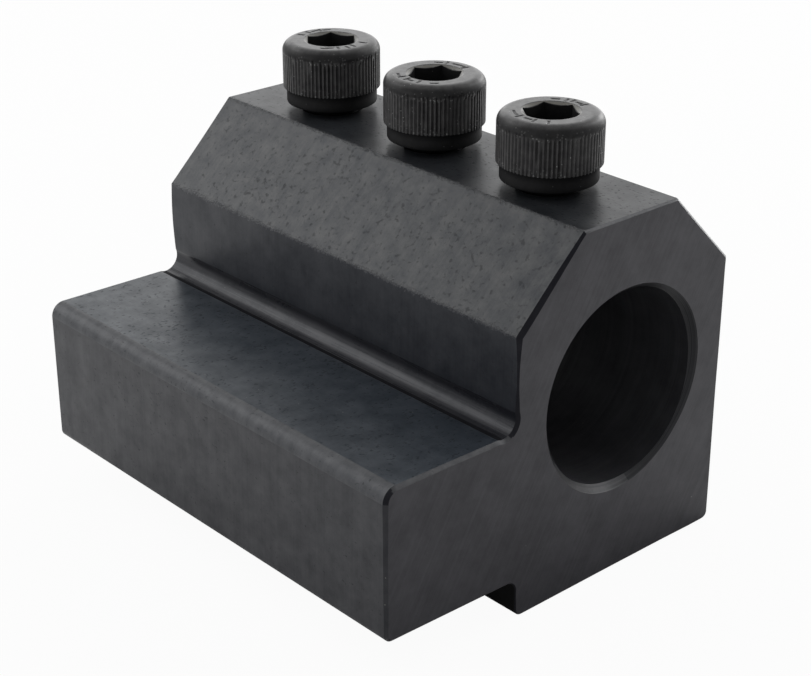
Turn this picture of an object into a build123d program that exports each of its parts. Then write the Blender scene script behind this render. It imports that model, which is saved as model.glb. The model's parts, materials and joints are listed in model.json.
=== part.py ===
"""Axial tool holder block for a 25 mm boring bar, with its three clamp screws.

Lengths are millimetres. X runs across the block, from the foot towards the block's plain side,
Y runs from the front face to the back along the bore, and Z runs up. The origin is the middle of
the part's footprint, at the level of the underside.
"""
import os
from math import cos, pi, sin, sqrt

from build123d import *

# Block
BLOCK_WIDTH = 35.7
BLOCK_HEIGHT = 46.6
LENGTH = 66.2
TOP_CHAMFER = 10.0

# Foot, the low ledge that the machine's clamp holds down
FOOT_REACH = 19.7
FOOT_TOP = 24.7
FOOT_EDGE_RADIUS = 1.2
FOOT_LOWER_RADIUS = 1.2
RELIEF_RADIUS = 2.0
RELIEF_UNDERCUT = 0.15

# Locating step below the foot
STEP_DEPTH = 5.15
STEP_INSET = 0.5
STEP_FILLET = 1.4
STEP_EDGE_RADIUS = 1.2
BLOCK_LOWER_RADIUS = 1.2

# Bore for the tool's shank
BORE_DIAMETER = 25.0
BORE_HEIGHT = 24.6
BORE_CHAMFER = 0.8

# Broken edges round the two end faces
FRONT_BREAK = 0.55
BACK_BREAK = 0.45

# Clamp screws in a row over the bore
SCREW_COUNT = 3
FIRST_SCREW = 13.4
SCREW_PITCH = 20.05
THREAD_DIAMETER = 8.0
THREAD_CLEARANCE = 0.05
HOLE_CHAMFER = 0.5
SHANK_LENGTH = 10.0
TIP_CHAMFER = 0.9
HEAD_LIFT = 0.95

# Screw head
HEAD_DIAMETER = 12.8
HEAD_HEIGHT = 8.2
HEAD_ROUNDING = 1.35
COLLAR_DIAMETER = 11.9
COLLAR_HEIGHT = 2.0
COLLAR_BEVEL = 0.15
KNURL_BEVEL = 0.1
KNURL_LAND = 0.1
KNURL_COUNT = 76
KNURL_DEPTH = 0.22
KNURL_CREST = 0.45
SOCKET_ACROSS_FLATS = 6.04
SOCKET_DEPTH = 4.6
SOCKET_COUNTERSINK = 0.35
SOCKET_DRILL_ANGLE = 118.0
SOCKET_TURNS = (-1.0, 33.5, -68.5)

# Places worked out from the sizes
OVERALL_WIDTH = BLOCK_WIDTH + FOOT_REACH
WALL_X = FOOT_REACH - OVERALL_WIDTH / 2
FOOT_END_X = WALL_X - FOOT_REACH
SIDE_X = WALL_X + BLOCK_WIDTH
STEP_X = WALL_X + STEP_INSET
BORE_X = WALL_X + BLOCK_WIDTH / 2
FRONT_Y = -LENGTH / 2
BACK_Y = LENGTH / 2
SCREW_YS = [FRONT_Y + FIRST_SCREW + SCREW_PITCH * i for i in range(SCREW_COUNT)]
SCREW_NAMES = ["clamp_screw_front", "clamp_screw_middle", "clamp_screw_rear"]
SEAT_Z = BLOCK_HEIGHT + HEAD_LIFT
KNURL_BOTTOM = COLLAR_HEIGHT + KNURL_BEVEL
KNURL_TOP = HEAD_HEIGHT - HEAD_ROUNDING - KNURL_LAND
END_PLANE = Plane(origin=(0, FRONT_Y, 0), x_dir=(1, 0, 0), z_dir=(0, -1, 0))


def section():
    """The block's outline seen from the front, with its fillets, as one flat face."""
    corners = [
        (STEP_X, 0),
        (SIDE_X, 0),
        (SIDE_X, BLOCK_HEIGHT - TOP_CHAMFER),
        (SIDE_X - TOP_CHAMFER, BLOCK_HEIGHT),
        (WALL_X + TOP_CHAMFER, BLOCK_HEIGHT),
        (WALL_X, BLOCK_HEIGHT - TOP_CHAMFER),
        (WALL_X, FOOT_TOP),
        (FOOT_END_X, FOOT_TOP),
        (FOOT_END_X, STEP_DEPTH),
        (STEP_X, STEP_DEPTH),
    ]
    radii = {
        (STEP_X, 0): STEP_EDGE_RADIUS,
        (SIDE_X, 0): BLOCK_LOWER_RADIUS,
        (FOOT_END_X, FOOT_TOP): FOOT_EDGE_RADIUS,
        (FOOT_END_X, STEP_DEPTH): FOOT_LOWER_RADIUS,
        (STEP_X, STEP_DEPTH): STEP_FILLET,
    }
    outline = make_face(Polyline(*corners, close=True))
    for place, radius in radii.items():
        vertex = outline.vertices().sort_by_distance((*place, 0))[0]
        outline = fillet(vertex, radius)
    reach = RELIEF_RADIUS - RELIEF_UNDERCUT
    corner_fill = Pos(WALL_X - reach / 2, FOOT_TOP + reach / 2) * Rectangle(reach, reach)
    relief = Pos(WALL_X - reach, FOOT_TOP + reach) * Circle(RELIEF_RADIUS)
    return outline + corner_fill - relief


def screw_hole(y):
    """The threaded hole from the top face into the bore, with its entry chamfer."""
    radius = THREAD_DIAMETER / 2 + THREAD_CLEARANCE
    depth = BLOCK_HEIGHT - BORE_HEIGHT
    hole = Pos(BORE_X, y, BORE_HEIGHT + depth / 2) * Cylinder(radius, depth)
    entry = Cone(radius, radius + HOLE_CHAMFER, HOLE_CHAMFER)
    return hole + Pos(BORE_X, y, BLOCK_HEIGHT - HOLE_CHAMFER / 2) * entry


def holder_body():
    """The steel block: foot, locating step, chamfered top, bore and screw holes."""
    body = extrude(END_PLANE * section(), amount=-LENGTH)
    for end, size in ((FRONT_Y, FRONT_BREAK), (BACK_Y, BACK_BREAK)):
        face = body.faces().filter_by(Axis.Y).sort_by_distance((0, end, FOOT_TOP / 2))[0]
        body = chamfer(face.outer_wire().edges(), size)
    radius = BORE_DIAMETER / 2
    bore = Rot(90, 0, 0) * Cylinder(radius, LENGTH)
    mouth = Cone(radius + BORE_CHAMFER, radius, BORE_CHAMFER)
    front_mouth = Pos(0, FRONT_Y + BORE_CHAMFER / 2, 0) * Rot(-90, 0, 0) * mouth
    back_mouth = Pos(0, BACK_Y - BORE_CHAMFER / 2, 0) * Rot(90, 0, 0) * mouth
    body -= Pos(BORE_X, 0, BORE_HEIGHT) * (bore + front_mouth + back_mouth)
    for y in SCREW_YS:
        body -= screw_hole(y)
    return body


def knurled_band():
    """The band of straight ridges: flat crests, and V grooves between them."""
    crest = HEAD_DIAMETER / 2
    valley = crest - KNURL_DEPTH
    step = 2 * pi / KNURL_COUNT
    points = []
    for i in range(KNURL_COUNT):
        for part, radius in ((-KNURL_CREST / 2, crest), (KNURL_CREST / 2, crest), (0.5, valley)):
            angle = step * (i + part)
            points.append((radius * cos(angle), radius * sin(angle)))
    outline = make_face(Polyline(*points, close=True))
    return Pos(0, 0, KNURL_BOTTOM) * extrude(outline, amount=KNURL_TOP - KNURL_BOTTOM)


def turned(*profile):
    """A solid of revolution about the screw's axis, from its (radius, height) points."""
    return revolve(make_face(Plane.XZ * Polyline(*profile, close=True)), Axis.Z)


def head_blank():
    """The turned head: collar, step out to the knurled band, band, and rounded top."""
    outer = HEAD_DIAMETER / 2
    collar = COLLAR_DIAMETER / 2
    lower = turned(
        (0, 0),
        (collar - COLLAR_BEVEL, 0),
        (collar, COLLAR_BEVEL),
        (collar, COLLAR_HEIGHT),
        (outer - KNURL_BEVEL, COLLAR_HEIGHT),
        (outer, KNURL_BOTTOM),
        (0, KNURL_BOTTOM),
    )
    top = turned((0, KNURL_TOP), (outer, KNURL_TOP), (outer, HEAD_HEIGHT), (0, HEAD_HEIGHT))
    rim = top.edges().filter_by(GeomType.CIRCLE).sort_by(Axis.Z)[-1]
    return lower + knurled_band() + fillet(rim, HEAD_ROUNDING)


def socket():
    """The hexagon socket with its countersunk rim and drill-point bottom."""
    inner = SOCKET_ACROSS_FLATS / 2
    outer = SOCKET_ACROSS_FLATS / sqrt(3)
    hexagon = extrude(RegularPolygon(outer, 6), amount=SOCKET_DEPTH)
    rim_radius = outer + SOCKET_COUNTERSINK / 4
    rim_depth = SOCKET_COUNTERSINK
    rim = Pos(0, 0, SOCKET_DEPTH - rim_depth / 2) * Cone(inner - rim_depth / 4, rim_radius, rim_depth)
    point_depth = inner / sin(SOCKET_DRILL_ANGLE / 360 * pi) * cos(SOCKET_DRILL_ANGLE / 360 * pi)
    point = Pos(0, 0, -point_depth / 2) * Cone(0, inner, point_depth)
    return Pos(0, 0, HEAD_HEIGHT - SOCKET_DEPTH) * (hexagon + rim + point)


def clamp_screw(turn):
    """A cap screw in its own frame: underside of the head at z = 0, shank downwards."""
    head = head_blank() - Rot(0, 0, turn) * socket()
    shank = Pos(0, 0, -SHANK_LENGTH / 2) * Cylinder(THREAD_DIAMETER / 2, SHANK_LENGTH)
    tip = shank.edges().filter_by(GeomType.CIRCLE).sort_by(Axis.Z)[0]
    return head + chamfer(tip, TIP_CHAMFER)


os.makedirs("parts", exist_ok=True)
nodes = {"holder_body": holder_body()}
for name, y, turn in zip(SCREW_NAMES, SCREW_YS, SOCKET_TURNS):
    nodes[name] = Pos(BORE_X, y, SEAT_Z) * clamp_screw(turn)
for name, solid in nodes.items():
    export_step(solid, f"parts/{name}.step")
    print(name, solid.bounding_box())
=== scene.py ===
"""The looks of an axial boring bar holder: its steel block, its three clamp screws, and a plain studio.

Shapes are worked out in millimetres, as whole arrays, and go into Blender in metres. X runs across the
block, Y along its bore from the front face to the back, and Z runs up.
"""
import json
import math

import bpy
import numpy as np
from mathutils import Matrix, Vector


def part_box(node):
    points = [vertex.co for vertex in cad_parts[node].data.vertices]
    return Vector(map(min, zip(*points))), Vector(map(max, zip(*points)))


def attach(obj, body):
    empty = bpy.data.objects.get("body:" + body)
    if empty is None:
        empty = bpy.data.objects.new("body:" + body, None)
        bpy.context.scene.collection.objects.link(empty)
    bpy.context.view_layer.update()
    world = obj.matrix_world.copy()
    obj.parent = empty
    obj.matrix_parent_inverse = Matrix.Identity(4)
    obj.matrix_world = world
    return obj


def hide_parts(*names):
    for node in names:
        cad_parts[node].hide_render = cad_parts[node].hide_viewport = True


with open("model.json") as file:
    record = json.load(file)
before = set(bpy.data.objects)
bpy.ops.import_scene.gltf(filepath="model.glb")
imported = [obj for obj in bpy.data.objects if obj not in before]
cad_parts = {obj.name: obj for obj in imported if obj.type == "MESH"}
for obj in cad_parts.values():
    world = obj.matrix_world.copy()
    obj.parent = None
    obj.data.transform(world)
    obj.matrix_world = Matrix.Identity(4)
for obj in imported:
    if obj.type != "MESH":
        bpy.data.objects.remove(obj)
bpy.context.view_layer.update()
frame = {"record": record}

MM = 0.001
TURN = 2 * math.pi


def mount(name):
    """Place in millimetres and dimensions of one of the record's mounts."""
    found = next(m for m in frame["record"]["mounts"] if m["name"] == name)
    return np.array(found["pos_m"]) / MM, found["dims"]


def node_box(node):
    """Lowest and highest corner of a solid, in millimetres."""
    low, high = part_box(node)
    return np.array(low) / MM, np.array(high) / MM


# Block, as the frame gives it
BLOCK_LOW, BLOCK_HIGH = node_box("holder_body")
FOOT_END_X, FRONT_Y, _ = BLOCK_LOW
SIDE_X, BACK_Y, TOP_Z = BLOCK_HIGH
LEDGE, _ = mount("clamp_ledge")
FOOT_TOP = LEDGE[2]
WALL_X = 2 * LEDGE[0] - FOOT_END_X
STEP_DEPTH = mount("foot_underside")[0][2]
STEP_X = mount("step_face")[0][0]
BORE_PLACE, BORE_DIMS = mount("tool_bore")
BORE_X, _, BORE_Z = BORE_PLACE
BORE_RADIUS = BORE_DIMS["r_mm"]
BORE_CHAMFER = (BACK_Y - FRONT_Y - BORE_DIMS["length_mm"]) / 2

# Block, sizes of its own
TOP_CHAMFER = 10.0
CRISP_RADIUS = 0.18
FOOT_EDGE_RADIUS = 1.8
LOWER_EDGE_RADIUS = 1.2
RELIEF_RADIUS = 2.0
RELIEF_UNDERCUT = 0.15
RELIEF_REACH = RELIEF_RADIUS - RELIEF_UNDERCUT
RELIEF_LIP = 2.62
STEP_FILLET = 1.4
OUTLINE_SPACING = 1.4
STATION_SPACING = 1.6
END_MARGIN = 1.2
BREAK_STEPS = (0.0, 0.16, 0.5, 0.84, 1.0)
BREAK_BULGE = 0.16
WOBBLE_KNOTS = 60
WOBBLE_SHARE = 0.09
CUTTER_REACH = 1.0
BORE_FACETS = 192
MOUTH_DEGREES = (-150, -112, -95, -62, -40, 0, 30, 60, 90, 150)
MOUTH_WIDTHS = (0.6, 0.9, 0.85, 0.55, 0.5, 0.82, 0.9, 0.7, 0.5, 0.6)

# Clamp screws, M8 with a hexagon socket
SCREWS = {"front": -1.0, "middle": 33.5, "rear": -68.5}
THREAD_PITCH = 1.25
THREAD_CREST = 3.97
THREAD_ROOT = 3.26
THREAD_CREST_FLAT = 0.0625
HOLE_CREST = 4.05
HOLE_ROOT = 3.46
HOLE_CREST_FLAT = 0.115
HOLE_CHAMFER = 0.15
HOLE_LEAD_IN = 1.3
HOLE_START = 1.5
HOLE_ROWS = 150
SCREW_DROP = -frame["record"]["behaviour"]["joints"][0]["range_m"][0] / MM
TIP_CHAMFER = 0.9
TIP_FLAT_RADIUS = 1.6
NECK_RADIUS = 3.93
NECK_LENGTH = 0.35
NECK_FLARE = 0.15
NECK_FLARE_HEIGHT = 0.05
SHANK_LENGTH = 10.0
SHANK_ROWS = 128
SHANK_COLUMNS = 114
HEAD_COLUMNS = 4 * SHANK_COLUMNS
UNDERSIDE_RINGS = (4.6, 5.2)
COLLAR_RADIUS = 5.95
COLLAR_HEIGHT = 2.0
COLLAR_BEVEL = 0.15
COLLAR_RINGS = (0.6, 1.1)
CREASE_WIDTH = 0.04
CREASE_HEIGHT = 0.07
KNURL_BEVEL = 0.1
KNURL_COUNT = 76
KNURL_DEPTH = 0.17
KNURL_CREST = 0.36
KNURL_FLANK = 0.4
KNURL_RUN_OUT = 7.0
KNURL_RUN_OUT_LENGTH = 0.6
KNURL_LOW_RINGS = (0.6, 1.4, 2.2, 3.0, 3.4)
KNURL_HIGH_START = 3.6
KNURL_HIGH_ROWS = 8
HEAD_ROUNDING = 1.35
ROUNDING_ROWS = 14
TOP_ROWS = 20
SOCKET_ACROSS_FLATS = 6.04
SOCKET_DEPTH = 4.6
SOCKET_RIM_RADIUS = 3.62
SOCKET_RIM_SLOPE = 0.62
SOCKET_CONE_ROWS = 4
# Rows of the socket's rim that get a painted highlight
SOCKET_PAINTED_HIGHLIGHT_ROWS = 3
SOCKET_WALL_ROWS = 5
SOCKET_FLOOR_SHARES = (0.98, 0.6, 0.3)
SOCKET_FLOOR_SLOPE = 0.5
SOCKET_POINT_DEPTH = 0.5
TICK_DEGREES = np.array([-17, -5, 8, 22, 37, 143, 156, 170, 183, 197, 222])
TICKS_TURNED = {"front": 0, "middle": 4, "rear": 74}
TICK_SPREAD = 3
TICK_MIDDLES = (4.3, 4.6)
TICK_HALVES = (0.58, 0.19)
TICK_DEPTH = 0.09

# How unevenly the knurl was rolled: its depth, its upper end, and a weak stretch in some grooves
DEPTH_SPREAD = 0.12
RUN_OUT_SPREAD = 0.2
WEAK_HEIGHTS = (2.9, 6.5)
WEAK_SPREAD = 0.45
WEAKEST = 0.6
WEAK_LENGTH = 0.7

# Painted shade on the parts of a head, from 0 where it stands proud to 1 where it is painted black. In the
# grooves and ticks it stands for both shade and the oxide kept in the hollows
SHADES = {"groove": 0.42, "tick": 0.45, "step": 0.95, "collar": 0.85, "shoulder": 0.7, "socket": 0.85}

# Colours of what shows through the block's oxide or lies in it
WORN_EDGE = (0.09, 0.092, 0.098)
# The pits' dark colour is painted shade in them
PIT = (0.002, 0.002, 0.002)
SCRATCH = (0.07, 0.07, 0.07)
BARE_SPECK = (0.12, 0.12, 0.115)


def grey(level):
    """A colour with the same level three times."""
    return (level,) * 3


def smooth_step(low, high, value):
    """0 below low, 1 above high, and 3t^2 - 2t^3 between them."""
    t = np.clip((value - low) / (high - low), 0, 1)
    return t * t * (3 - 2 * t)


def put_in_scene(name, data):
    """An object that shows a mesh, a camera or a lamp, linked into the scene."""
    made = bpy.data.objects.new(name, data)
    bpy.context.scene.collection.objects.link(made)
    return made


def put_facing(name, data, place, direction):
    """A camera or lamp put at a place in metres, looking along a direction."""
    made = put_in_scene(name, data)
    made.location = place
    made.rotation_mode = "QUATERNION"
    made.rotation_quaternion = direction.to_track_quat("-Z", "Y")
    return made


def new_piece(name, points, faces):
    """A mesh object from points in millimetres, and faces as lists of their numbers."""
    mesh = bpy.data.meshes.new(name)
    mesh.from_pydata((points * MM).tolist(), [], faces)
    mesh.validate()
    return put_in_scene(name, mesh)


def round_points(axis, radius, angle, height):
    """Points about an upright axis (x, y), from the radius, angle and height of each."""
    x, y = axis[0] + radius * np.cos(angle), axis[1] + radius * np.sin(angle)
    return np.stack((x, y, np.broadcast_to(height, x.shape)), -1)


def grid_faces(rows, columns, first=0, reverse=False):
    """Quads between neighbouring rows of a closed grid, whose last column joins its first."""
    row, column = np.meshgrid(np.arange(rows - 1), np.arange(columns), indexing="ij")
    after = (column + 1) % columns
    corners = [row * columns + column, row * columns + after]
    corners += [(row + 1) * columns + after, (row + 1) * columns + column]
    order = corners[::-1] if reverse else corners
    return (np.stack(order, -1).reshape(-1, 4) + first).tolist()


def fan_faces(ring, pole, columns, reverse=False):
    """Triangles from a ring of points, whose first is number ring, to one pole point."""
    here = ring + np.arange(columns)
    after = ring + (np.arange(columns) + 1) % columns
    pair = (after, here) if reverse else (here, after)
    return np.column_stack((*pair, np.full(columns, pole))).tolist()


def capped_faces(rows, columns, reverse=False):
    """A closed grid with a pole at each end, the poles being the last two points."""
    poles = rows * columns
    faces = grid_faces(rows, columns, reverse=reverse)
    faces += fan_faces(0, poles, columns, reverse=not reverse)
    return faces + fan_faces(poles - columns, poles + 1, columns, reverse=reverse)


def finish_normals(piece, sharp_degrees):
    """Smooth shading with sharp edges above an angle, and flats kept flat by face area."""
    piece.data.shade_smooth()
    piece.data.set_sharp_from_angle(angle=math.radians(sharp_degrees))
    weighted = piece.modifiers.new("flats_stay_flat", "WEIGHTED_NORMAL")
    weighted.keep_sharp = True


def place_camera():
    """The photograph's viewpoint, fitted to the block's edges: a direction, a distance and a lens."""
    turn, height = math.radians(-41.715), math.radians(24.909)
    level = math.cos(height)
    back = Vector((math.sin(turn) * level, -math.cos(turn) * level, math.sin(height)))
    target = Vector((-24.81, -33.10, 41.88))
    distance = 194.18
    data = bpy.data.cameras.new("photo_camera")
    data.lens = 83.35
    data.sensor_width = 36.0
    data.clip_start = 0.01
    camera = put_facing("photo_camera", data, (target + back * distance) * MM, -back)
    bpy.context.scene.camera = camera


# The block's corners as (x, z, radius, undercut, width of the front break, width of the back break,
# extra width of both halfway to the next corner)
CORNERS = np.array([
    (STEP_X, 0, LOWER_EDGE_RADIUS, 0, 0.16, 0.45, 0.05),
    (SIDE_X, 0, LOWER_EDGE_RADIUS, 0, 0.45, 0.45, 0.05),
    (SIDE_X, TOP_Z - TOP_CHAMFER, CRISP_RADIUS, 0, 0.40, 0.45, 0.06),
    (SIDE_X - TOP_CHAMFER, TOP_Z, CRISP_RADIUS, 0, 0.26, 0.40, 0.0),
    (WALL_X + TOP_CHAMFER, TOP_Z, CRISP_RADIUS, 0, 0.30, 0.40, 0.08),
    (WALL_X, TOP_Z - TOP_CHAMFER, CRISP_RADIUS, 0, 0.52, 0.30, -0.26),
    (WALL_X, FOOT_TOP, RELIEF_RADIUS, RELIEF_UNDERCUT, 0.40, 0.45, 0.0),
    (FOOT_END_X, FOOT_TOP, FOOT_EDGE_RADIUS, 0, 0.46, 0.12, 0.0),
    (FOOT_END_X, STEP_DEPTH, LOWER_EDGE_RADIUS, 0, 0.36, 0.12, 0.0),
    (STEP_X, STEP_DEPTH, STEP_FILLET, 0, 0.12, 0.30, 0.0),
])
CORNER_PLACES, RADII, UNDERCUTS = CORNERS[:, :2], CORNERS[:, 2], CORNERS[:, 3]
FRONT_BREAKS, BACK_BREAKS, EXTRA_BREAKS = CORNERS[:, 4], CORNERS[:, 5], CORNERS[:, 6]
RUNS = np.roll(CORNER_PLACES, -1, axis=0) - CORNER_PLACES
RUN_LENGTHS = np.linalg.norm(RUNS, axis=1)
RUN_NORMALS = np.column_stack((RUNS[:, 1], -RUNS[:, 0])) / RUN_LENGTHS[:, None]
RUN_COUNTS = np.ceil(RUN_LENGTHS / OUTLINE_SPACING).astype(int)
ARC_COUNTS = np.where(RADII > CRISP_RADIUS, np.ceil(RADII * 6 + 6), 4).astype(int)


def outline(inset):
    """The block's outline moved inwards by one distance for each corner.

    Each corner is an arc of its radius less the inset (or plus it, in a hollow corner) about a centre on
    the corner's bisector. An undercut brings the centre nearer, and the arc goes on past its tangents by
    the angle whose cosine is (radius - undercut + inset) / (radius + inset). Straight runs are divided
    evenly between the arcs' ends.
    """
    before = np.roll(RUN_NORMALS, 1, axis=0)
    share = 1 + (before * RUN_NORMALS).sum(1)
    inward = -(before + RUN_NORMALS) / share[:, None]
    outward_angle = np.arctan2(before[:, 1], before[:, 0])
    cross = before[:, 0] * RUN_NORMALS[:, 1] - before[:, 1] * RUN_NORMALS[:, 0]
    turn = np.arctan2(cross, share - 1)
    hollow = turn < 0
    reach = np.where(hollow, UNDERCUTS - RADII, np.maximum(RADII, inset))
    centres = CORNER_PLACES + inward * reach[:, None]
    radii = np.where(hollow, RADII + inset, np.maximum(RADII - inset, 0))
    past = np.where(hollow, np.arccos(np.clip((RADII - UNDERCUTS + inset) / (RADII + inset), 0, 1)), 0)
    arcs = []
    for k, count in enumerate(ARC_COUNTS):
        start = outward_angle[k] + math.pi * hollow[k] + past[k]
        angle = start + np.linspace(0, 1, count) * (turn[k] - 2 * past[k])
        arcs.append(centres[k] + radii[k] * np.column_stack((np.cos(angle), np.sin(angle))))
    points = []
    for k, count in enumerate(RUN_COUNTS):
        along = np.arange(1, count)[:, None] / count
        points.append(arcs[k])
        points.append(arcs[k][-1] * (1 - along) + arcs[(k + 1) % len(arcs)][0] * along)
    return np.concatenate(points)


def spread(values, humps):
    """One value a corner, carried round the outline: level on arcs, and straight from corner to corner.

    A hump adds a half sine wave of its height to the run after its corner.
    """
    parts = []
    for k, count in enumerate(RUN_COUNTS):
        along = np.arange(1, count) / count
        parts.append(np.full(ARC_COUNTS[k], values[k]))
        run = values[k] * (1 - along) + values[(k + 1) % len(values)] * along
        parts.append(run + humps[k] * np.sin(math.pi * along))
    return np.concatenate(parts)


def run_normals():
    """The outward normal at each point of a straight run, and nothing on the arcs."""
    parts = []
    for arc, count, normal in zip(ARC_COUNTS, RUN_COUNTS, RUN_NORMALS):
        parts += [np.zeros((arc, 2)), np.repeat(normal[None], count - 1, axis=0)]
    return np.concatenate(parts)


def end_rings(breaks, wobble):
    """Rings of a filed edge, from the end face outwards, each as (x, depth below the end face, z).

    At share t of the way the outline is inset by the break's width times (1 - t), and the depth is the
    width times t, so the strip lies at 45 degrees. Both are pushed out a little halfway, as filing does.
    On the straight runs the width also has a hump and a wobble, which move a point along its normal.
    """
    normals = run_normals()
    on_run = np.abs(normals).sum(1) > 0
    widths = spread(breaks, EXTRA_BREAKS)
    extra = (widths - spread(breaks, 0 * breaks)) + wobble * widths * on_run
    rings = []
    for t in BREAK_STEPS:
        push = BREAK_BULGE * t * (1 - t)
        flat = outline(breaks * (1 - t - push)) - normals * (extra * (1 - t - push))[:, None]
        rings.append(np.column_stack((flat[:, 0], widths * (t - push), flat[:, 1])))
    return rings


def bar_of_block():
    """The block before boring: the outline carried along Y between its two filed ends."""
    draw = np.random.default_rng(11)
    full = outline(np.zeros(len(RUNS)))
    count = len(full)
    around = np.arange(count) / count
    knots = np.linspace(0, 1, WOBBLE_KNOTS)
    wobbles = [
        np.interp(around, knots, WOBBLE_SHARE * draw.standard_normal(WOBBLE_KNOTS)) for _ in range(2)
    ]
    front = [ring + (0, FRONT_Y, 0) for ring in end_rings(FRONT_BREAKS, wobbles[0])]
    back = [ring * (1, -1, 1) + (0, BACK_Y, 0) for ring in end_rings(BACK_BREAKS, wobbles[1])][::-1]
    stations = np.arange(FRONT_Y + END_MARGIN, BACK_Y - END_MARGIN, STATION_SPACING)
    middle = [np.column_stack((full[:, 0], np.full(count, y), full[:, 1])) for y in stations]
    rings = front + middle + back
    last = (len(rings) - 1) * count
    faces = grid_faces(len(rings), count, reverse=True)
    faces += [list(range(count)), list(range(last, last + count))[::-1]]
    return new_piece("holder_block", np.concatenate(rings), faces)


def bore_cutter():
    """The space of the bore, turned about its axis, with a 45 degree mouth that goes on past each end face.

    The front mouth was filed by hand: its width is interpolated round the bore between measured places.
    """
    angle = np.arange(BORE_FACETS) * TURN / BORE_FACETS
    degrees = np.arange(BORE_FACETS) * 360 / BORE_FACETS
    front = np.interp(degrees, MOUTH_DEGREES, MOUTH_WIDTHS, period=360)
    profile = [
        (FRONT_Y - CUTTER_REACH, BORE_RADIUS + front + CUTTER_REACH),
        (FRONT_Y + front, BORE_RADIUS),
        (BACK_Y - BORE_CHAMFER, BORE_RADIUS),
        (BACK_Y + CUTTER_REACH, BORE_RADIUS + BORE_CHAMFER + CUTTER_REACH),
    ]
    rows = [[part + np.zeros(BORE_FACETS) for part in point] for point in profile]
    y, radius = np.array(rows).transpose(1, 0, 2)
    wall = np.stack((BORE_X + radius * np.cos(angle), y, BORE_Z + radius * np.sin(angle)), -1)
    poles = np.array([(BORE_X, y[0, 0], BORE_Z), (BORE_X, y[-1, 0], BORE_Z)])
    faces = capped_faces(len(profile), BORE_FACETS, reverse=True)
    return new_piece("bore_cutter", np.concatenate((wall.reshape(-1, 3), poles)), faces)


def thread_radius(height, angle, crest, root, flat):
    """Radius of a right-hand 60 degree thread, the same wave in the screws and in their holes.

    The crest's line climbs one pitch a turn. Within the flat on either side of it the radius is the
    crest's, and past the flat it falls by the square root of 3 times the distance, down to the root's.
    """
    turns = height / THREAD_PITCH - angle / TURN
    distance = np.abs(turns - np.round(turns))
    return crest - np.clip((distance - flat) * THREAD_PITCH * math.sqrt(3), 0, crest - root)


def hole_cutter(place):
    """The space of one threaded hole, from inside the bore to above the top face.

    Its radius is the larger of the thread's at rest and with the screw as far down as it goes. The last
    stretch below the top face opens at 45 degrees to the crest's radius, for the screw's plain neck, and
    the entry opens past it at 45 degrees again.
    """
    low = BORE_Z + BORE_RADIUS - CUTTER_REACH - HOLE_START
    height = np.linspace(low, TOP_Z + CUTTER_REACH, HOLE_ROWS)[:, None]
    angle = np.arange(SHANK_COLUMNS)[None] * TURN / SHANK_COLUMNS
    at_rest = thread_radius(height, angle, HOLE_CREST, HOLE_ROOT, HOLE_CREST_FLAT)
    lowered = thread_radius(height + SCREW_DROP, angle, HOLE_CREST, HOLE_ROOT, HOLE_CREST_FLAT)
    lead_in = np.minimum(HOLE_CREST, HOLE_ROOT + HOLE_LEAD_IN + height - TOP_Z)
    entry = HOLE_CREST + HOLE_CHAMFER + height - TOP_Z
    radius = np.maximum(np.maximum(at_rest, lowered), np.maximum(lead_in, entry))
    wall = round_points(place, radius, angle, height).reshape(-1, 3)
    poles = np.array([(*place, height[0, 0]), (*place, height[-1, 0])])
    return new_piece("hole_cutter", np.concatenate((wall, poles)), capped_faces(HOLE_ROWS, SHANK_COLUMNS))


def cut_away(piece, cutters):
    """Takes the cutters' spaces out of a piece for good, and removes them."""
    for cutter in cutters:
        cut = piece.modifiers.new("cut", "BOOLEAN")
        cut.operation = "DIFFERENCE"
        cut.solver = "EXACT"
        cut.object = cutter
    seen = piece.evaluated_get(bpy.context.evaluated_depsgraph_get())
    made = bpy.data.meshes.new_from_object(seen)
    piece.modifiers.clear()
    piece.data = made
    for cutter in cutters:
        bpy.data.objects.remove(cutter)


def screw_place(name):
    """Axis (x, y), lowest and highest point and radius of one clamp screw, from its solid."""
    low, high = node_box(f"clamp_screw_{name}")
    return (low[:2] + high[:2]) / 2, low[2], high[2], (high[0] - low[0]) / 2


def shank_rows(axis, seat, tip, turn):
    """The threaded shank as rows of points, from the chamfered tip to the neck under the head.

    The radius is the thread's, held inside a 45 degree cone at the tip, and it rises smoothly to the plain
    neck's radius over the last stretch. The first row is the tip's flat, and the last flares to the head.
    """
    threaded = np.linspace(tip, seat - NECK_FLARE_HEIGHT, SHANK_ROWS)
    heights = np.concatenate(([tip], threaded, [seat]))[:, None]
    angle = turn + np.arange(SHANK_COLUMNS)[None] * TURN / SHANK_COLUMNS
    radius = thread_radius(heights, angle, THREAD_CREST, THREAD_ROOT, THREAD_CREST_FLAT)
    radius = np.minimum(radius, THREAD_CREST - TIP_CHAMFER + heights - tip)
    plain = smooth_step(seat - NECK_LENGTH - THREAD_PITCH, seat - NECK_LENGTH, heights)
    radius = radius * (1 - plain) + NECK_RADIUS * plain
    radius[0] = TIP_FLAT_RADIUS
    radius[-1] = NECK_RADIUS + NECK_FLARE
    return round_points(axis, radius, angle, heights)


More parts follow.
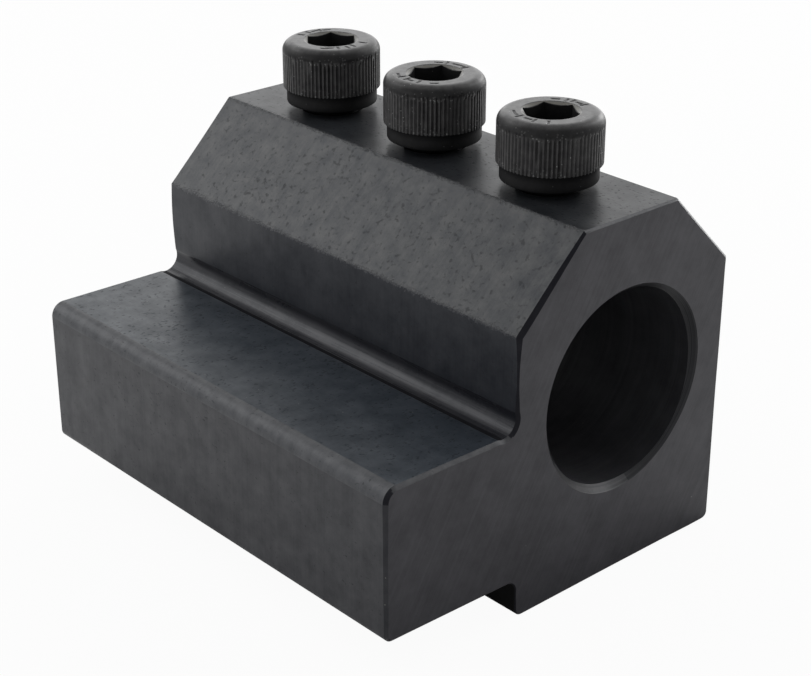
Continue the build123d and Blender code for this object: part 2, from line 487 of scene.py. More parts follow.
def head_profile(height, outer):
    """The head's turned profile as (radius, height) from the underside up to the socket's rim."""
    collar = [
        *((radius, 0) for radius in UNDERSIDE_RINGS),
        (COLLAR_RADIUS - COLLAR_BEVEL, 0),
        (COLLAR_RADIUS - COLLAR_BEVEL * 0.3, COLLAR_BEVEL * 0.3),
        (COLLAR_RADIUS, COLLAR_BEVEL),
        *((COLLAR_RADIUS, z) for z in COLLAR_RINGS),
        (COLLAR_RADIUS, COLLAR_HEIGHT - CREASE_HEIGHT),
        (COLLAR_RADIUS + CREASE_WIDTH, COLLAR_HEIGHT),
    ]
    round_low = height - HEAD_ROUNDING
    band = [
        (outer - KNURL_BEVEL, COLLAR_HEIGHT),
        (outer - KNURL_BEVEL * 0.5, COLLAR_HEIGHT + KNURL_BEVEL * 0.5),
        *((outer, COLLAR_HEIGHT + z) for z in (KNURL_BEVEL, *KNURL_LOW_RINGS)),
        *((outer, z) for z in np.linspace(COLLAR_HEIGHT + KNURL_HIGH_START, round_low, KNURL_HIGH_ROWS)),
    ]
    around = np.linspace(0, math.pi / 2, ROUNDING_ROWS + 1)[1:]
    rounding = np.column_stack((
        outer - HEAD_ROUNDING * (1 - np.cos(around)),
        round_low + HEAD_ROUNDING * np.sin(around),
    ))
    inwards = np.linspace(outer - HEAD_ROUNDING, SOCKET_RIM_RADIUS, TOP_ROWS + 1)[1:]
    top = [(radius, height) for radius in inwards]
    return np.concatenate([np.array(part, float) for part in (collar, band, rounding, top)])


def knurl_cut(angle, height, outer, draw):
    """Radius that the knurl leaves, and each point's share of its groove's depth.

    Across a groove the share is 0 on the narrow crest, rises straight over the flank and is 1 on the
    valley's floor. Each groove has its own depth, its own height at which it runs out, and a stretch
    part of the way up where the roll pressed it less.
    """
    turns = angle * KNURL_COUNT / TURN
    groove = np.floor(turns).astype(int) % KNURL_COUNT
    across = 1 - np.abs((turns - np.floor(turns)) - 0.5) * 2
    share = np.clip((across - KNURL_CREST) / KNURL_FLANK, 0, 1)
    depth = KNURL_DEPTH * (1 + DEPTH_SPREAD * draw.standard_normal(KNURL_COUNT))[groove]
    run_out = KNURL_RUN_OUT + RUN_OUT_SPREAD * draw.standard_normal(KNURL_COUNT)[groove]
    share = share * (1 - smooth_step(run_out - KNURL_RUN_OUT_LENGTH, run_out, height))
    weak_height = draw.uniform(*WEAK_HEIGHTS, KNURL_COUNT)[groove]
    weakness = np.clip(WEAK_SPREAD * draw.standard_normal(KNURL_COUNT), 0, WEAKEST)[groove]
    share = share * (1 - weakness * np.exp(-((height - weak_height) / WEAK_LENGTH) ** 2))
    return outer - depth * share, share


def socket_rows(height, step):
    """The socket's rows as (radii, heights): down a cone from the rim, down the wall, and over the floor.

    The wall's radius is half the width across flats over the cosine of the angle from a flat's middle.
    The cone goes from the rim's circle to it, and the floor shrinks it in shares and sinks as it does.
    """
    hexagon = SOCKET_ACROSS_FLATS / 2 / np.cos((step % (TURN / 6)) - TURN / 12)
    cone = np.linspace(0, 1, SOCKET_CONE_ROWS + 1)[1:, None]
    cone_radius = SOCKET_RIM_RADIUS * (1 - cone) + hexagon * cone
    cone_height = height - (SOCKET_RIM_RADIUS - cone_radius) * SOCKET_RIM_SLOPE
    floor = height - SOCKET_DEPTH
    down = np.linspace(0, 1, SOCKET_WALL_ROWS + 1)[1:, None]
    wall_radius = np.repeat(hexagon, SOCKET_WALL_ROWS, axis=0)
    wall_height = cone_height[-1] * (1 - down) + floor * down
    shrink = np.array(SOCKET_FLOOR_SHARES)[:, None]
    sunk = SOCKET_ACROSS_FLATS / 2 * (1 - shrink) * SOCKET_FLOOR_SLOPE
    radii = np.concatenate((cone_radius, wall_radius, hexagon * shrink))
    return radii, np.concatenate((cone_height, wall_height, floor - sunk + np.zeros_like(step)))


def head_painted_shade_and_wear(profile, height, outer, share, pressed, shape):
    """How much painted shade, and how much wear and painted highlight, each point of the head gets, as two
    arrays of the given shape.

    Painted shade darkens the underside, the step above the collar, the collar, the lower part of the
    rounding, and the socket below its rim. In the grooves and ticks, by their shares, it is both shade and
    oxide kept in the hollows. The second array is 1 at the upper ends of the knurl's ridges and 0.7 at
    their lower ends, for wear and painted glints, and 2 on the socket's rim, for a painted highlight. The
    other bare numbers are heights and allowances in millimetres.
    """
    level = profile[:, 1:]
    on_band = (level > COLLAR_HEIGHT + 0.05) & (profile[:, :1] > outer - 0.3)
    outside = level > COLLAR_BEVEL * 0.2
    up_rounding = level - height + HEAD_ROUNDING
    turned = np.maximum(SHADES["groove"] * on_band * share, SHADES["tick"] * pressed) * outside + ~outside
    parts = {
        "step": np.abs(level - COLLAR_HEIGHT) < 0.1,
        "collar": (level < COLLAR_HEIGHT) & (level > 0),
        "shoulder": smooth_step(-0.3, 0.1, up_rounding) * (1 - smooth_step(0.75, 1.2, up_rounding)),
    }
    for part, there in parts.items():
        turned = np.maximum(turned, SHADES[part] * there)
    high_ends = smooth_step(6.1, 6.6, level) * (1 - smooth_step(7.2, 7.6, level))
    low_ends = on_band * (1 - smooth_step(2.6, 3.4, level)) * 0.7
    rim = slice(len(profile), len(profile) + SOCKET_PAINTED_HIGHLIGHT_ROWS)
    painted_shade_and_recess = np.full(shape, SHADES["socket"])
    painted_shade_and_recess[:len(profile)] = turned
    painted_shade_and_recess[rim] = 0.0
    wear_and_painted_highlight = np.zeros(shape)
    wear_and_painted_highlight[:len(profile)] = np.maximum(high_ends, low_ends)
    wear_and_painted_highlight[rim] = 2.0
    return painted_shade_and_recess, wear_and_painted_highlight


def head_rows(axis, seat, top, turn, outer, ticks, draw):
    """The head as rows of points from its underside to the socket's floor, and their painted shade and
    wear.

    Up to the rim a row is the turned profile, held inside the radius that the knurl leaves and lowered
    where a tick is pressed in.
    """
    height = top - seat
    step = np.arange(HEAD_COLUMNS)[None] * TURN / HEAD_COLUMNS
    profile = head_profile(height, outer)
    level = np.repeat(profile[:, 1:], HEAD_COLUMNS, axis=1)
    cut, share = knurl_cut(step, level, outer, draw)
    turned_radius = np.minimum(profile[:, :1], cut)
    pressed = tick_share(turned_radius, step, height, profile, ticks)
    socket_radius, socket_height = socket_rows(height, step)
    radius = np.concatenate((turned_radius, socket_radius))
    z = np.concatenate((level - TICK_DEPTH * pressed, socket_height)) + seat
    points = round_points(axis, radius, step + turn, z)
    return points, *head_painted_shade_and_wear(profile, height, outer, share, pressed, radius.shape)


def tick_share(radius, angle, height, profile, ticks):
    """How deep the plain ticks are pressed into the head's top, from 0 to 1: each is a soft-edged bar.

    A tick is (angle in degrees, middle radius, half length along the radius, half width across it).
    """
    on_top = profile[:, 1:] > height - HEAD_ROUNDING * 0.5
    share = np.zeros(np.broadcast_shapes(radius.shape, angle.shape))
    for degrees, middle, half_length, half_width in ticks:
        away = (angle - math.radians(degrees) + math.pi) % TURN - math.pi
        across = np.abs(away) * radius / half_width
        along = np.abs(radius - middle) / half_length
        share = np.maximum(share, 1 - smooth_step(0.6, 1.2, np.maximum(across, along)))
    return share * on_top


def neck_faces(neck, head):
    """Faces from the shank's last ring to the head's finer first one, by the numbers where they start."""
    fine = HEAD_COLUMNS // SHANK_COLUMNS
    column = np.arange(SHANK_COLUMNS)
    coarse = (neck + column, neck + (column + 1) % SHANK_COLUMNS)
    outside = [head + (column * fine + k) % HEAD_COLUMNS for k in range(fine, -1, -1)]
    return np.column_stack((*coarse, *outside)).tolist()


def clamp_screw(name, turn_degrees, seed):
    """One cap screw as a single closed surface: tip, thread, neck, collar, knurl, rounding and socket."""
    axis, tip, top, outer = screw_place(name)
    seat = tip + SHANK_LENGTH
    turn = math.radians(turn_degrees)
    draw = np.random.default_rng(seed)
    jitter = draw.uniform(-TICK_SPREAD, TICK_SPREAD, len(TICK_DEGREES))
    ticks = [
        (degrees - turn_degrees, draw.uniform(*TICK_MIDDLES), *draw.permutation(TICK_HALVES))
        for degrees in TICK_DEGREES + TICKS_TURNED[name] + jitter
    ]
    shank = shank_rows(axis, seat, tip, turn)
    head, painted_shade_and_recess, wear_and_painted_highlight = head_rows(axis, seat, top, turn, outer, ticks, draw)
    poles = np.array([(*axis, tip), (*axis, head[-1, 0, 2] - SOCKET_POINT_DEPTH)])
    points = np.concatenate((shank.reshape(-1, 3), head.reshape(-1, 3), poles))
    head_first = shank.shape[0] * SHANK_COLUMNS
    head_last = head_first + (head.shape[0] - 1) * HEAD_COLUMNS
    tip_pole, socket_pole = len(points) - 2, len(points) - 1
    faces = grid_faces(shank.shape[0], SHANK_COLUMNS)
    faces += grid_faces(head.shape[0], HEAD_COLUMNS, head_first)
    faces += fan_faces(0, tip_pole, SHANK_COLUMNS, reverse=True)
    faces += fan_faces(head_last, socket_pole, HEAD_COLUMNS)
    faces += neck_faces(head_first - SHANK_COLUMNS, head_first)
    piece = new_piece(f"cap_screw_{name}", points, faces)
    # The shank is painted black all over as shade; the head's points carry their painted shade and wear
    for layer, shank_value, head_values in (("painted_shade_and_recess", 1, painted_shade_and_recess), ("wear_and_painted_highlight", 0, wear_and_painted_highlight)):
        values = np.concatenate((np.full(head_first, shank_value), head_values.ravel(), [shank_value] * 2))
        attribute = piece.data.attributes.new(layer, "FLOAT", "POINT")
        attribute.data.foreach_set("value", values.astype(np.float32))
    finish_normals(piece, 34.0)
    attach(piece, f"screw_{name}")
    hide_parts(f"clamp_screw_{name}")
    return piece


def face_kinds(piece):
    """The kind of machined surface that each face of the block belongs to, from its place and direction.

    The kinds are tried in their order, and a face takes the first that fits it, or else "side". Bare
    numbers are allowances in millimetres, limits for a part of the unit normal, and the middle and half
    width, in degrees, of the stretch of the bore's mouth that was filed and is lightened as a painted
    highlight.
    """
    count = len(piece.data.polygons)
    centre, normal = np.empty(count * 3), np.empty(count * 3)
    piece.data.polygons.foreach_get("center", centre)
    piece.data.polygons.foreach_get("normal", normal)
    x, y, z = centre.reshape(-1, 3).T / MM
    across, along, up = normal.reshape(-1, 3).T
    slanted = np.abs(along) > 0.15
    broken = (np.minimum(y - FRONT_Y, BACK_Y - y) < 1.1) & slanted
    at_foot = (x < FOOT_END_X + 0.5) & (z < FOOT_TOP - FOOT_EDGE_RADIUS)
    past_bore = np.hypot(x - BORE_X, z - BORE_Z) - BORE_RADIUS
    filed = np.abs(np.degrees(np.arctan2(z - BORE_Z, x - BORE_X)) + 116) < 34
    from_relief = np.hypot(x - WALL_X + RELIEF_REACH, z - FOOT_TOP - RELIEF_REACH)
    in_relief = np.abs(from_relief - RELIEF_RADIUS) < 0.06
    in_hole = np.zeros(count, bool)
    for name in SCREWS:
        place = screw_place(name)[0]
        in_hole |= np.hypot(x - place[0], y - place[1]) < HOLE_CREST + HOLE_CHAMFER
    in_hole &= (z > BORE_Z + BORE_RADIUS - 0.7) & (z < TOP_Z - 0.001)
    turned_in = (across < -0.3) | (up < -0.3)
    tests = {
        "end": np.abs(along) > 0.98,
        "tapped": in_hole & (past_bore > 0.02),
        "bored": past_bore < 0.02,
        "filed_mouth_painted_highlight": slanted & (past_bore < 0.9) & filed & (y < 0),
        "bore_mouth": slanted & (past_bore < 0.95),
        "foot_break": broken & ((y > 0) | at_foot),
        # Breaks facing left, given painted shade
        "painted_shade_edge": broken & (across < -0.3),
        "bright_edge": broken,
        "relief_lip": in_relief & (x < WALL_X - RELIEF_REACH + 0.15),
        "relief": in_relief,
        "chamfer": (z > TOP_Z - TOP_CHAMFER - 0.1) & (np.abs(across) > 0.3) & (up > 0.3),
        "top": z > TOP_Z - 0.1,
        "foot_edge": (x < FOOT_END_X + FOOT_EDGE_RADIUS) & (z > FOOT_TOP - FOOT_EDGE_RADIUS),
        "ledge": (z > FOOT_TOP - 0.1) & (up > 0.9),
        "wall": (x < WALL_X + 0.1) & (across < -0.9) & (z > FOOT_TOP),
        "step": (x < STEP_X + STEP_FILLET) & (z < STEP_DEPTH + 0.1) & turned_in & (z > 0.2),
    }
    return np.select(list(tests.values()), list(tests), "side")


def holder_block(finishes):
    """The block: its bar, bored and threaded, with a finish for each kind of machined surface."""
    piece = bar_of_block()
    cut_away(piece, [bore_cutter()] + [hole_cutter(screw_place(name)[0]) for name in SCREWS])
    names = list(finishes)
    index = np.array([names.index(kind) for kind in face_kinds(piece)], np.int32)
    for finish in finishes.values():
        piece.data.materials.append(finish)
    piece.data.polygons.foreach_set("material_index", index)
    finish_normals(piece, 20.0)
    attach(piece, "block")
    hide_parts("holder_body")


def feed(tree, sockets, values):
    """Fills sockets, given by name or number: outputs are linked, and a plain colour's alpha is 1."""
    for key, value in values.items():
        socket = sockets[key]
        if isinstance(value, bpy.types.NodeSocket):
            tree.links.new(value, socket)
        else:
            socket.default_value = (*value, 1) if socket.type == "RGBA" else value


def work_out(tree, kind, operation, values):
    """The outputs of one step of arithmetic on plain values or outputs."""
    node = tree.nodes.new(kind)
    node.operation = operation
    feed(tree, node.inputs, dict(enumerate(values)))
    return node.outputs


def maths(tree, operation, *values):
    """One step on numbers, such as ADD or MULTIPLY."""
    return work_out(tree, "ShaderNodeMath", operation, values)[0]


def places(tree, operation, *values):
    """One step on places, such as SUBTRACT; DOT_PRODUCT and LENGTH give a number."""
    made = work_out(tree, "ShaderNodeVectorMath", operation, values)
    return made["Value" if operation in ("DOT_PRODUCT", "LENGTH") else "Vector"]


def noise(tree, place, detail=2.0, roughness=0.5):
    """Soft noise about 0.5 at a place, one unit to a blotch."""
    node = tree.nodes.new("ShaderNodeTexNoise")
    feed(tree, node.inputs, {"Vector": place, "Scale": 1.0, "Detail": detail, "Roughness": roughness})
    return node.outputs["Fac"]


def rise(tree, value, low, high):
    """0 up to low, 1 from high, and a smooth rise between them."""
    node = tree.nodes.new("ShaderNodeMapRange")
    node.interpolation_type = "SMOOTHSTEP"
    feed(tree, node.inputs, {"Value": value, "From Min": low, "From Max": high})
    return node.outputs["Result"]


def effect(name, inputs, outputs):
    """A node group with a Place, other inputs at their start values, and outputs, to be filled in."""
    tree = bpy.data.node_groups.new(name, "ShaderNodeTree")
    for socket, value in {"Place": (0, 0, 0), **inputs}.items():
        kind = "NodeSocketFloat" if isinstance(value, float) else "NodeSocketVector"
        tree.interface.new_socket(name=socket, in_out="INPUT", socket_type=kind).default_value = value
    for socket in outputs:
        tree.interface.new_socket(name=socket, in_out="OUTPUT", socket_type="NodeSocketFloat")
    return tree, tree.nodes.new("NodeGroupInput").outputs, tree.nodes.new("NodeGroupOutput").inputs


def use(tree, group, here, **values):
    """The outputs of an effect used at a place, with a value or link for each other input."""
    node = tree.nodes.new("ShaderNodeGroup")
    node.node_tree = group
    feed(tree, node.inputs, {"Place": here, **values})
    return node.outputs


def oxide_patches():
    """Blotches of thicker and thinner oxide: layered noise, with its contrast raised about the middle."""
    tree, given, made = effect("oxide_patches", {"Size": 3.0, "Contrast": 2.0}, ["Tone"])
    spot = places(tree, "DIVIDE", given["Place"], given["Size"])
    from_middle = maths(tree, "SUBTRACT", noise(tree, spot, 5.0, 0.66), 0.5)
    tone = maths(tree, "MULTIPLY_ADD", from_middle, given["Contrast"], 0.5)
    feed(tree, made, {"Tone": maths(tree, "MINIMUM", maths(tree, "MAXIMUM", tone, 0.0), 1.0)})
    return tree


def drawn_pits():
    """Small dark pits drawn out along the bar: stretched noise above a level, thicker in some places.

    Stretch is one over a pit's size along each axis, and Amount lowers the level.
    """
    tree, given, made = effect("drawn_pits", {"Stretch": (4.0, 1.5, 4.0), "Amount": 0.5}, ["Pits"])
    grain = noise(tree, places(tree, "MULTIPLY", given["Place"], given["Stretch"]), 1.5)
    crowd = noise(tree, places(tree, "MULTIPLY", given["Place"], (0.13, 0.09, 0.13)), 1.0)
    level = maths(tree, "MULTIPLY_ADD", crowd, 0.12, grain)
    low = maths(tree, "MULTIPLY_ADD", given["Amount"], -0.2, 0.8)
    feed(tree, made, {"Pits": rise(tree, level, low, maths(tree, "ADD", low, 0.17))})
    return tree


def tool_lines():
    """Lines left by a cutter: noise that changes quickly across them and slowly along them.

    Across is a unit direction over the lines' spacing in millimetres.
    """
    tree, given, made = effect("tool_lines", {"Across": (1.0, 0, 0)}, ["Lines"])
    over = places(tree, "DOT_PRODUCT", given["Place"], given["Across"])
    slow = places(tree, "MULTIPLY", given["Place"], (0.06, 0.06, 0.06))
    quick = places(tree, "MULTIPLY", (0, 0, 1), over)
    lines = noise(tree, places(tree, "ADD", slow, quick), 2.0, 0.7)
    feed(tree, made, {"Lines": maths(tree, "MULTIPLY_ADD", lines, 2.4, -0.7)})
    return tree


def ragged_edge():
    """The uneven roll of one long edge: a reach about the corner's line along Y, made ragged by noise.

    The distance to the line is the length of the place less the corner, without its Y. Drop is how far
    inside the ragged reach a point is, in millimetres, and Near rises from 0 to 1 just inside it.
    """
    sockets = {"Corner": (0, 0, 0), "Reach": 0.5, "Ragged": 0.6}
    tree, given, made = effect("ragged_edge", sockets, ["Near", "Drop"])
    beside = places(tree, "MULTIPLY", places(tree, "SUBTRACT", given["Place"], given["Corner"]), (1, 0, 1))
    distance = places(tree, "LENGTH", beside)
    teeth = noise(tree, places(tree, "MULTIPLY", given["Place"], (1.6, 1.9, 1.6)), 4.0, 0.7)
    uneven = maths(tree, "MULTIPLY", maths(tree, "SUBTRACT", teeth, 0.5), given["Ragged"])
    reach = maths(tree, "MULTIPLY", given["Reach"], maths(tree, "MULTIPLY_ADD", uneven, 6.0, 1.0))
    drop = maths(tree, "MAXIMUM", maths(tree, "SUBTRACT", reach, distance), 0.0)
    feed(tree, made, {"Drop": drop, "Near": rise(tree, drop, 0.0, 0.12)})
    return tree


def bright_specks():
    """Tiny bare specks: a dot about the middle of the few cells whose random number is high."""
    tree, given, made = effect("bright_specks", {"Spacing": 1.2, "Radius": 0.08, "Amount": 0.1}, ["Specks"])
    cells = tree.nodes.new("ShaderNodeTexVoronoi")
    spot = places(tree, "DIVIDE", given["Place"], given["Spacing"])
    feed(tree, cells.inputs, {"Vector": spot, "Scale": 1.0})
    radius = maths(tree, "DIVIDE", given["Radius"], given["Spacing"])
    dot = maths(tree, "LESS_THAN", cells.outputs["Distance"], radius)
    chance = tree.nodes.new("ShaderNodeSeparateColor")
    feed(tree, chance.inputs, {"Color": cells.outputs["Color"]})
    chosen = maths(tree, "LESS_THAN", chance.outputs["Red"], given["Amount"])
    feed(tree, made, {"Specks": maths(tree, "MULTIPLY", dot, chosen)})
    return tree


def millimetres(tree):
    """The place on the piece, in millimetres."""
    here = tree.nodes.new("ShaderNodeTexCoord").outputs["Object"]
    return places(tree, "DIVIDE", here, (MM, MM, MM))


def blend(tree, share, plain, other):
    """A colour between two, each an output or three numbers."""
    node = tree.nodes.new("ShaderNodeMix")
    node.data_type = "RGBA"
    inputs = {socket.identifier: socket for socket in node.inputs}
    feed(tree, inputs, {"Factor_Float": share, "A_Color": plain, "B_Color": other})
    return next(output for output in node.outputs if output.identifier == "Result_Color")


def relief_normal(tree, height):
    """The normal of a surface whose relief is given in millimetres."""
    bump = tree.nodes.new("ShaderNodeBump")
    feed(tree, bump.inputs, {"Distance": MM, "Height": height})
    return bump.outputs["Normal"]


def new_material(name):
    """A material, its tree and its shader."""
    material = bpy.data.materials.new(name)
    material.use_nodes = True
    return material, material.node_tree, material.node_tree.nodes["Principled BSDF"]


def steel(name, ior, plain_share, tint, roughness):
    """A material with the plain parts of its shader set, its tree and its shader.

    plain_share is the part of the reflection that is the same all over. The rest is the coat's, whose
    weight follows the oxide.
    """
    material, tree, shader = new_material(name)
    feed(tree, shader.inputs, {"IOR": ior, "Coat IOR": ior, "Coat Roughness": roughness})
    feed(tree, shader.inputs, {"Specular IOR Level": plain_share / 2, "Specular Tint": tint})
    return material, tree, shader


def black_oxide(name, effects, thick, thin, roughness, ior=1.45, patches=(3.5, 2.2), pits=(4.0, 2.0, 0.4),
                pit_shade=0.5, lines=((0, 2.2, 0), 0.2), edges=(), grain=0.004, specks=0.05, scratches=0.0,
                gleam=0.3, tint=(0.9, 0.93, 1.0)):
    """The blackened steel of one kind of surface.

    thick and thin are the oxide's colours, between which its patches (size, contrast) and the cutter's
    lines (direction, share) move it. Pits (stretch across, stretch along, amount) are rougher and darkened
    with painted shade, and scratches lighter. Edges (corner, reach, raggedness, wear) roll over near a
    corner's line, grain is a fine relief in millimetres, and gleam is how much the reflection varies with
    the oxide.
    """
    material, tree, shader = steel(name, ior, 1 - gleam, tint, roughness)
    here = millimetres(tree)
    tone = use(tree, effects["patches"], here, Size=patches[0], Contrast=patches[1])["Tone"]
    across, line_share = lines
    cut = use(tree, effects["lines"], here, Across=across)["Lines"]
    tone = maths(tree, "MULTIPLY_ADD", cut, line_share, maths(tree, "MULTIPLY", tone, 1 - line_share))
    wide, long, amount = pits
    hollow = use(tree, effects["pits"], here, Stretch=(wide, long, wide), Amount=amount)["Pits"]
    rubbed = use(tree, effects["pits"], here, Stretch=(7.0, 0.5, 7.0), Amount=scratches)["Pits"]
    fine = noise(tree, places(tree, "MULTIPLY", here, (2.6, 2.6, 2.6)), 3.0, 0.6)
    height = maths(tree, "MULTIPLY", fine, grain)
    height = maths(tree, "MULTIPLY_ADD", cut, 0.008 * line_share, height)
    height = maths(tree, "MULTIPLY_ADD", hollow, -0.02 * pit_shade, height)
    base = blend(tree, tone, thick, thin)
    for corner, reach, ragged, wear in edges:
        edge = use(tree, effects["edge"], here, Corner=corner, Reach=reach, Ragged=ragged)
        height = maths(tree, "MULTIPLY_ADD", edge["Drop"], -0.25, height)
        base = blend(tree, maths(tree, "MULTIPLY", edge["Near"], wear), base, WORN_EDGE)
    base = blend(tree, maths(tree, "MULTIPLY", hollow, pit_shade), base, PIT)
    base = blend(tree, maths(tree, "MULTIPLY", rubbed, 0.35), base, SCRATCH)
    dots = use(tree, effects["specks"], here, Amount=specks)["Specks"]
    open_share = maths(tree, "MULTIPLY_ADD", hollow, -pit_shade, 1.0)
    coat = maths(tree, "MULTIPLY", maths(tree, "MULTIPLY", tone, 2 * gleam), open_share)
    rough = maths(tree, "MULTIPLY_ADD", tone, 0.1, roughness - 0.05)
    feed(tree, shader.inputs, {
        "Base Color": blend(tree, dots, base, BARE_SPECK),
        "Coat Weight": maths(tree, "MAXIMUM", coat, 0.0),
        "Roughness": maths(tree, "MULTIPLY_ADD", hollow, 0.4 * pit_shade, rough),
        "Normal": relief_normal(tree, height),
    })
    return material


def point_value(tree, layer):
    """A value that the piece's own points carry."""
    node = tree.nodes.new("ShaderNodeAttribute")
    node.attribute_name = layer
    return node.outputs["Fac"]


def screw_oxide(effects):
    """The screws' blackened steel, with painted shade and painted highlights.

    Painted shade blackens the recesses, the collar, the underside and the shank. What stands proud is worn
    a little lighter, and the socket's rim gets a painted highlight.
    """
    material, tree, shader = steel("screw_oxide", 1.38, 0.15, (1, 1, 1), 0.36)
    here = millimetres(tree)
    painted_shade_and_recess, wear_and_painted_highlight = point_value(tree, "painted_shade_and_recess"), point_value(tree, "wear_and_painted_highlight")
    unshaded_and_proud = maths(tree, "SUBTRACT", 1.0, painted_shade_and_recess)
    tone = use(tree, effects["patches"], here, Size=0.9, Contrast=2.4)["Tone"]
    thick, thin, painted_shade_black = (0.015, 0.015, 0.016), (0.042, 0.0405, 0.041), (0.007, 0.007, 0.0075)
    painted_rim_highlight, speck, fleck = (0.15, 0.145, 0.13), grey(0.24), grey(0.15)
    base = blend(tree, tone, thick, thin)
    # Painted shade: recesses, collar, underside and lower rounding darkened towards black
    base = blend(tree, painted_shade_and_recess, base, painted_shade_black)
    # Painted highlight on the socket's rim
    base = blend(tree, rise(tree, wear_and_painted_highlight, 1.2, 1.8), base, painted_rim_highlight)
    # Bright specks and flecks: partly bare metal, partly painted glints
    dots = use(tree, effects["specks"], here, Spacing=0.45, Radius=0.08, Amount=0.11)["Specks"]
    base = blend(tree, maths(tree, "MULTIPLY", dots, unshaded_and_proud), base, speck)
    flecks = use(tree, effects["specks"], here, Spacing=0.36, Radius=0.12, Amount=0.5)["Specks"]
    flecks = maths(tree, "MULTIPLY", maths(tree, "MULTIPLY", flecks, wear_and_painted_highlight), unshaded_and_proud)
    coat = maths(tree, "MULTIPLY", maths(tree, "MULTIPLY_ADD", tone, 0.4, 0.65), unshaded_and_proud)
    rough = maths(tree, "MULTIPLY_ADD", tone, 0.1, 0.33)
    fine = noise(tree, places(tree, "MULTIPLY", here, (3.2, 3.2, 3.2)), 3.0, 0.6)
    feed(tree, shader.inputs, {
        "Base Color": blend(tree, flecks, base, fleck),
        "Coat Weight": maths(tree, "MINIMUM", coat, 1.0),
        "Roughness": maths(tree, "MULTIPLY_ADD", painted_shade_and_recess, 0.25, rough),
        "Normal": relief_normal(tree, maths(tree, "MULTIPLY", fine, 0.02)),
    })
    return material


def block_finishes(effects):
    """The block's finish for each kind of surface, all of one black oxide over differently cut steel, in
    lit and shaded copies whose colours and reflection strengths also paint the light and shade each kind of
    face gets.
    """
    low_corner = (WALL_X, 0, TOP_Z - TOP_CHAMFER)
    high_corner = (WALL_X + TOP_CHAMFER, 0, TOP_Z)
    lip = (WALL_X - RELIEF_LIP, 0, FOOT_TOP)
    rolled = [(low_corner, 0.28, 1.0, 0.3), (high_corner, 0.28, 1.0, 0.2)]
    cut_direction = 0.55
    end_lines = ((2.2 * math.cos(cut_direction), 0, -2.2 * math.sin(cut_direction)), 0.35)
    finishes = {}

    def add(kind, *plain, **looks):
        finishes[kind] = black_oxide(f"{kind}_oxide", effects, *plain, **looks)

    add("side", (0.006, 0.006, 0.008), (0.019, 0.019, 0.022), 0.45, ior=1.48, pits=(3.2, 1.8, 0.5))
    add("chamfer", (0.011, 0.0135, 0.018), grey(0.044), 0.46, ior=1.39, patches=(2.6, 2.2),
        pits=(1.9, 1.6, 0.85), pit_shade=0.38, edges=rolled, grain=0.012, specks=0.0,
        tint=(0.93, 0.96, 1.0))
    add("top", (0.010, 0.011, 0.013), (0.022, 0.024, 0.027), 0.36, ior=1.30, pits=(2.4, 1.6, 0.75),
        edges=rolled[1:], lines=((2.2, 0, 0), 0.15), grain=0.008, scratches=0.3)
    add("wall", (0.002, 0.003, 0.006), (0.007, 0.008, 0.012), 0.42, pits=(2.4, 1.4, 0.4),
        edges=rolled[:1])
    add("ledge", (0.016, 0.021, 0.029), (0.031, 0.039, 0.051), 0.33, ior=1.31, pits=(1.8, 2.2, 0.82),
        lines=((3.0, 0, 0), 0.12), edges=[(lip, 0.10, 0.12, 0.15)], specks=0.12, scratches=0.5,
        gleam=0.4, tint=(0.8, 0.92, 1.0))
    # The foot's rounded edge is coloured much lighter than the faces beside it: a painted highlight along
    # it
    add("foot_edge", (0.036, 0.038, 0.042), (0.076, 0.078, 0.083), 0.45, ior=1.36,
        patches=(1.6, 1.9), pits=(2.6, 1.8, 0.6), grain=0.01)
    add("relief", (0.006, 0.007, 0.010), (0.014, 0.014, 0.018), 0.28, ior=1.31,
        lines=((4.0, 0, 0), 0.6), pits=(4, 2, 0.1), gleam=0.4)
    # The relief's lower lip is dark and dull: a painted shade line along the groove
    add("relief_lip", (0.003, 0.003, 0.004), (0.009, 0.009, 0.011), 0.75, ior=1.2,
        lines=((4.0, 0, 0), 0.4), specks=0.0, gleam=0.1)
    add("end", (0.003, 0.003, 0.005), (0.009, 0.0085, 0.013), 0.44, ior=1.49, lines=end_lines,
        pits=(4, 4, 0.1), gleam=0.25, tint=(0.95, 0.94, 1.0))
    # The breaks facing left get a darker, duller copy of the edge's finish: painted shade
    add("painted_shade_edge", (0.009, 0.009, 0.012), (0.02, 0.02, 0.024), 0.5, ior=1.16)
    add("foot_break", (0.014, 0.014, 0.017), (0.028, 0.028, 0.031), 0.45, ior=1.34, specks=0.3)
    add("bright_edge", (0.014, 0.014, 0.016), (0.034, 0.034, 0.036), 0.42, patches=(1.5, 2.5))
    # The filed stretch of the bore's mouth is coloured lighter: a painted highlight
    add("filed_mouth_painted_highlight", (0.016, 0.016, 0.018), (0.052, 0.052, 0.054), 0.36, ior=1.32,
        lines=((0, 9.0, 0), 0.6), gleam=0.4)
    add("bore_mouth", (0.003, 0.003, 0.004), (0.014, 0.014, 0.016), 0.33, ior=1.3,
        lines=((0, 9.0, 0), 0.8), gleam=0.45)
    add("bored", (0.024, 0.024, 0.027), (0.040, 0.040, 0.044), 0.4, lines=((0, 3.0, 0), 0.4),
        pits=(4, 2, 0.1))
    # tapped and step are nearly black and barely reflect: painted shade in the holes under the heads and
    # under the foot
    add("tapped", grey(0.004), grey(0.010), 0.6, ior=1.25, specks=0.0)
    add("step", grey(0.004), grey(0.009), 0.6, ior=1.2)
    return finishes


def soft_light(name, place, target, size, radiance):
    """A soft box: a square lamp of one side length in metres, with its radiance, aimed at a point."""
    data = bpy.data.lights.new(name, "AREA")
    data.shape = "SQUARE"
    data.size = size
    data.energy = radiance * math.pi * size * size
    put_facing(name, data, place, Vector(target) - Vector(place)).visible_camera = False


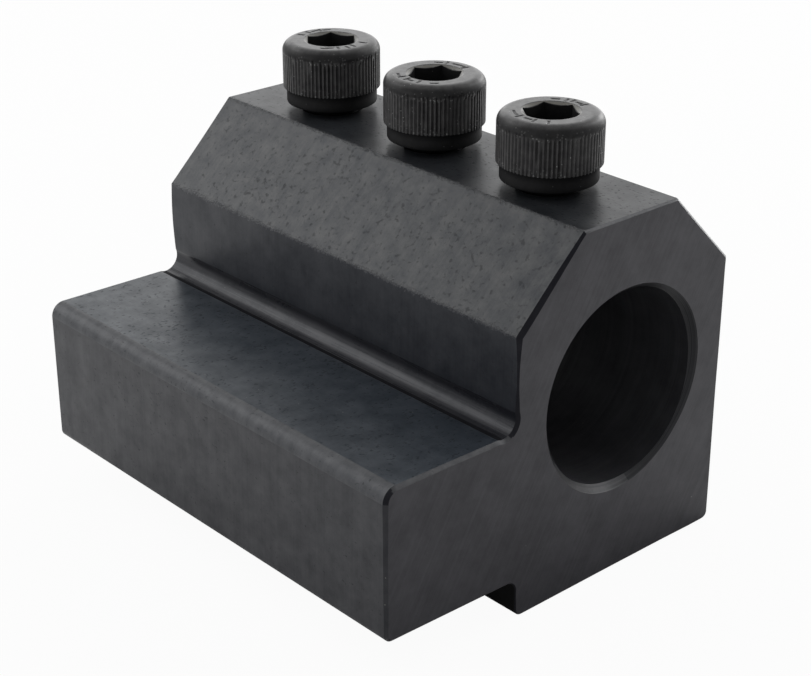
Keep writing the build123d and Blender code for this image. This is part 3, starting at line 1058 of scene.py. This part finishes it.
def surround():
    """A world that is white where a camera, gloss or glass sees it, and lights the rest more dimly."""
    dim = 0.32
    world = bpy.data.worlds.new("surround")
    world.use_nodes = True
    bpy.context.scene.world = world
    tree = world.node_tree
    background = tree.nodes["Background"]
    path = tree.nodes.new("ShaderNodeLightPath").outputs
    seen = maths(tree, "MAXIMUM", path["Is Camera Ray"], path["Is Glossy Ray"])
    seen = maths(tree, "MAXIMUM", seen, path["Is Transmission Ray"])
    strength = maths(tree, "MULTIPLY_ADD", seen, 1 - dim, dim)
    feed(tree, background.inputs, {"Color": grey(1), "Strength": strength})


def pale_floor():
    """A wide floor with the object's shadow, lifted to white where a camera, gloss or glass sees it.

    For gloss the lift is the share of open sky over the floor, so that the shade under the object is also
    dark in what reflects it.
    """
    half_size = 1.5 / MM
    camera_lift = 0.95
    corners = np.array([(-1, -1, 0), (1, -1, 0), (1, 1, 0), (-1, 1, 0)]) * half_size
    floor = new_piece("floor", corners, [[0, 1, 2, 3]])
    material, tree, shader = new_material("pale_floor")
    feed(tree, shader.inputs, {"Base Color": grey(0.86), "Roughness": 0.9, "Specular IOR Level": 0.2})
    glow = tree.nodes.new("ShaderNodeEmission")
    feed(tree, glow.inputs, {"Color": grey(1)})
    open_sky = tree.nodes.new("ShaderNodeAmbientOcclusion")
    feed(tree, open_sky.inputs, {"Distance": 0.14})
    open_sky.samples = 8
    path = tree.nodes.new("ShaderNodeLightPath").outputs
    for_gloss = maths(tree, "MAXIMUM", path["Is Glossy Ray"], path["Is Transmission Ray"])
    for_gloss = maths(tree, "MULTIPLY", for_gloss, rise(tree, open_sky.outputs["AO"], 0.58, 1.0))
    share = maths(tree, "MULTIPLY_ADD", path["Is Camera Ray"], camera_lift, for_gloss)
    mix = tree.nodes.new("ShaderNodeMixShader")
    feed(tree, mix.inputs, {"Fac": share, 1: shader.outputs["BSDF"], 2: glow.outputs["Emission"]})
    feed(tree, tree.nodes["Material Output"].inputs, {"Surface": mix.outputs["Shader"]})
    floor.data.materials.append(material)


def studio():
    """A pale floor, a white surround, and soft boxes behind the object and beside it."""
    bpy.context.scene.view_settings.view_transform = "Standard"
    surround()
    pale_floor()
    aim = (0, 0, 0.03)
    soft_light("soft_box_back_left", (-0.19, 0.36, 0.28), aim, 0.3, 2.6)
    soft_light("soft_box_back_right", (0.50, 0.56, 0.39), aim, 0.8, 0.6)
    soft_light("soft_box_right", (0.70, 0.10, 0.14), aim, 0.3, 6.0)
    soft_light("soft_box_front_right", (0.41, -0.17, 0.28), aim, 0.3, 2.5)
    soft_light("soft_box_left", (-0.60, 0.20, 0.17), aim, 0.32, 1.6)


place_camera()
studio()
effects = {
    "patches": oxide_patches(),
    "pits": drawn_pits(),
    "lines": tool_lines(),
    "edge": ragged_edge(),
    "specks": bright_specks(),
}
holder_block(block_finishes(effects))
screw_finish = screw_oxide(effects)
for seed, (name, turn_degrees) in enumerate(SCREWS.items(), 21):
    clamp_screw(name, turn_degrees, seed).data.materials.append(screw_finish)
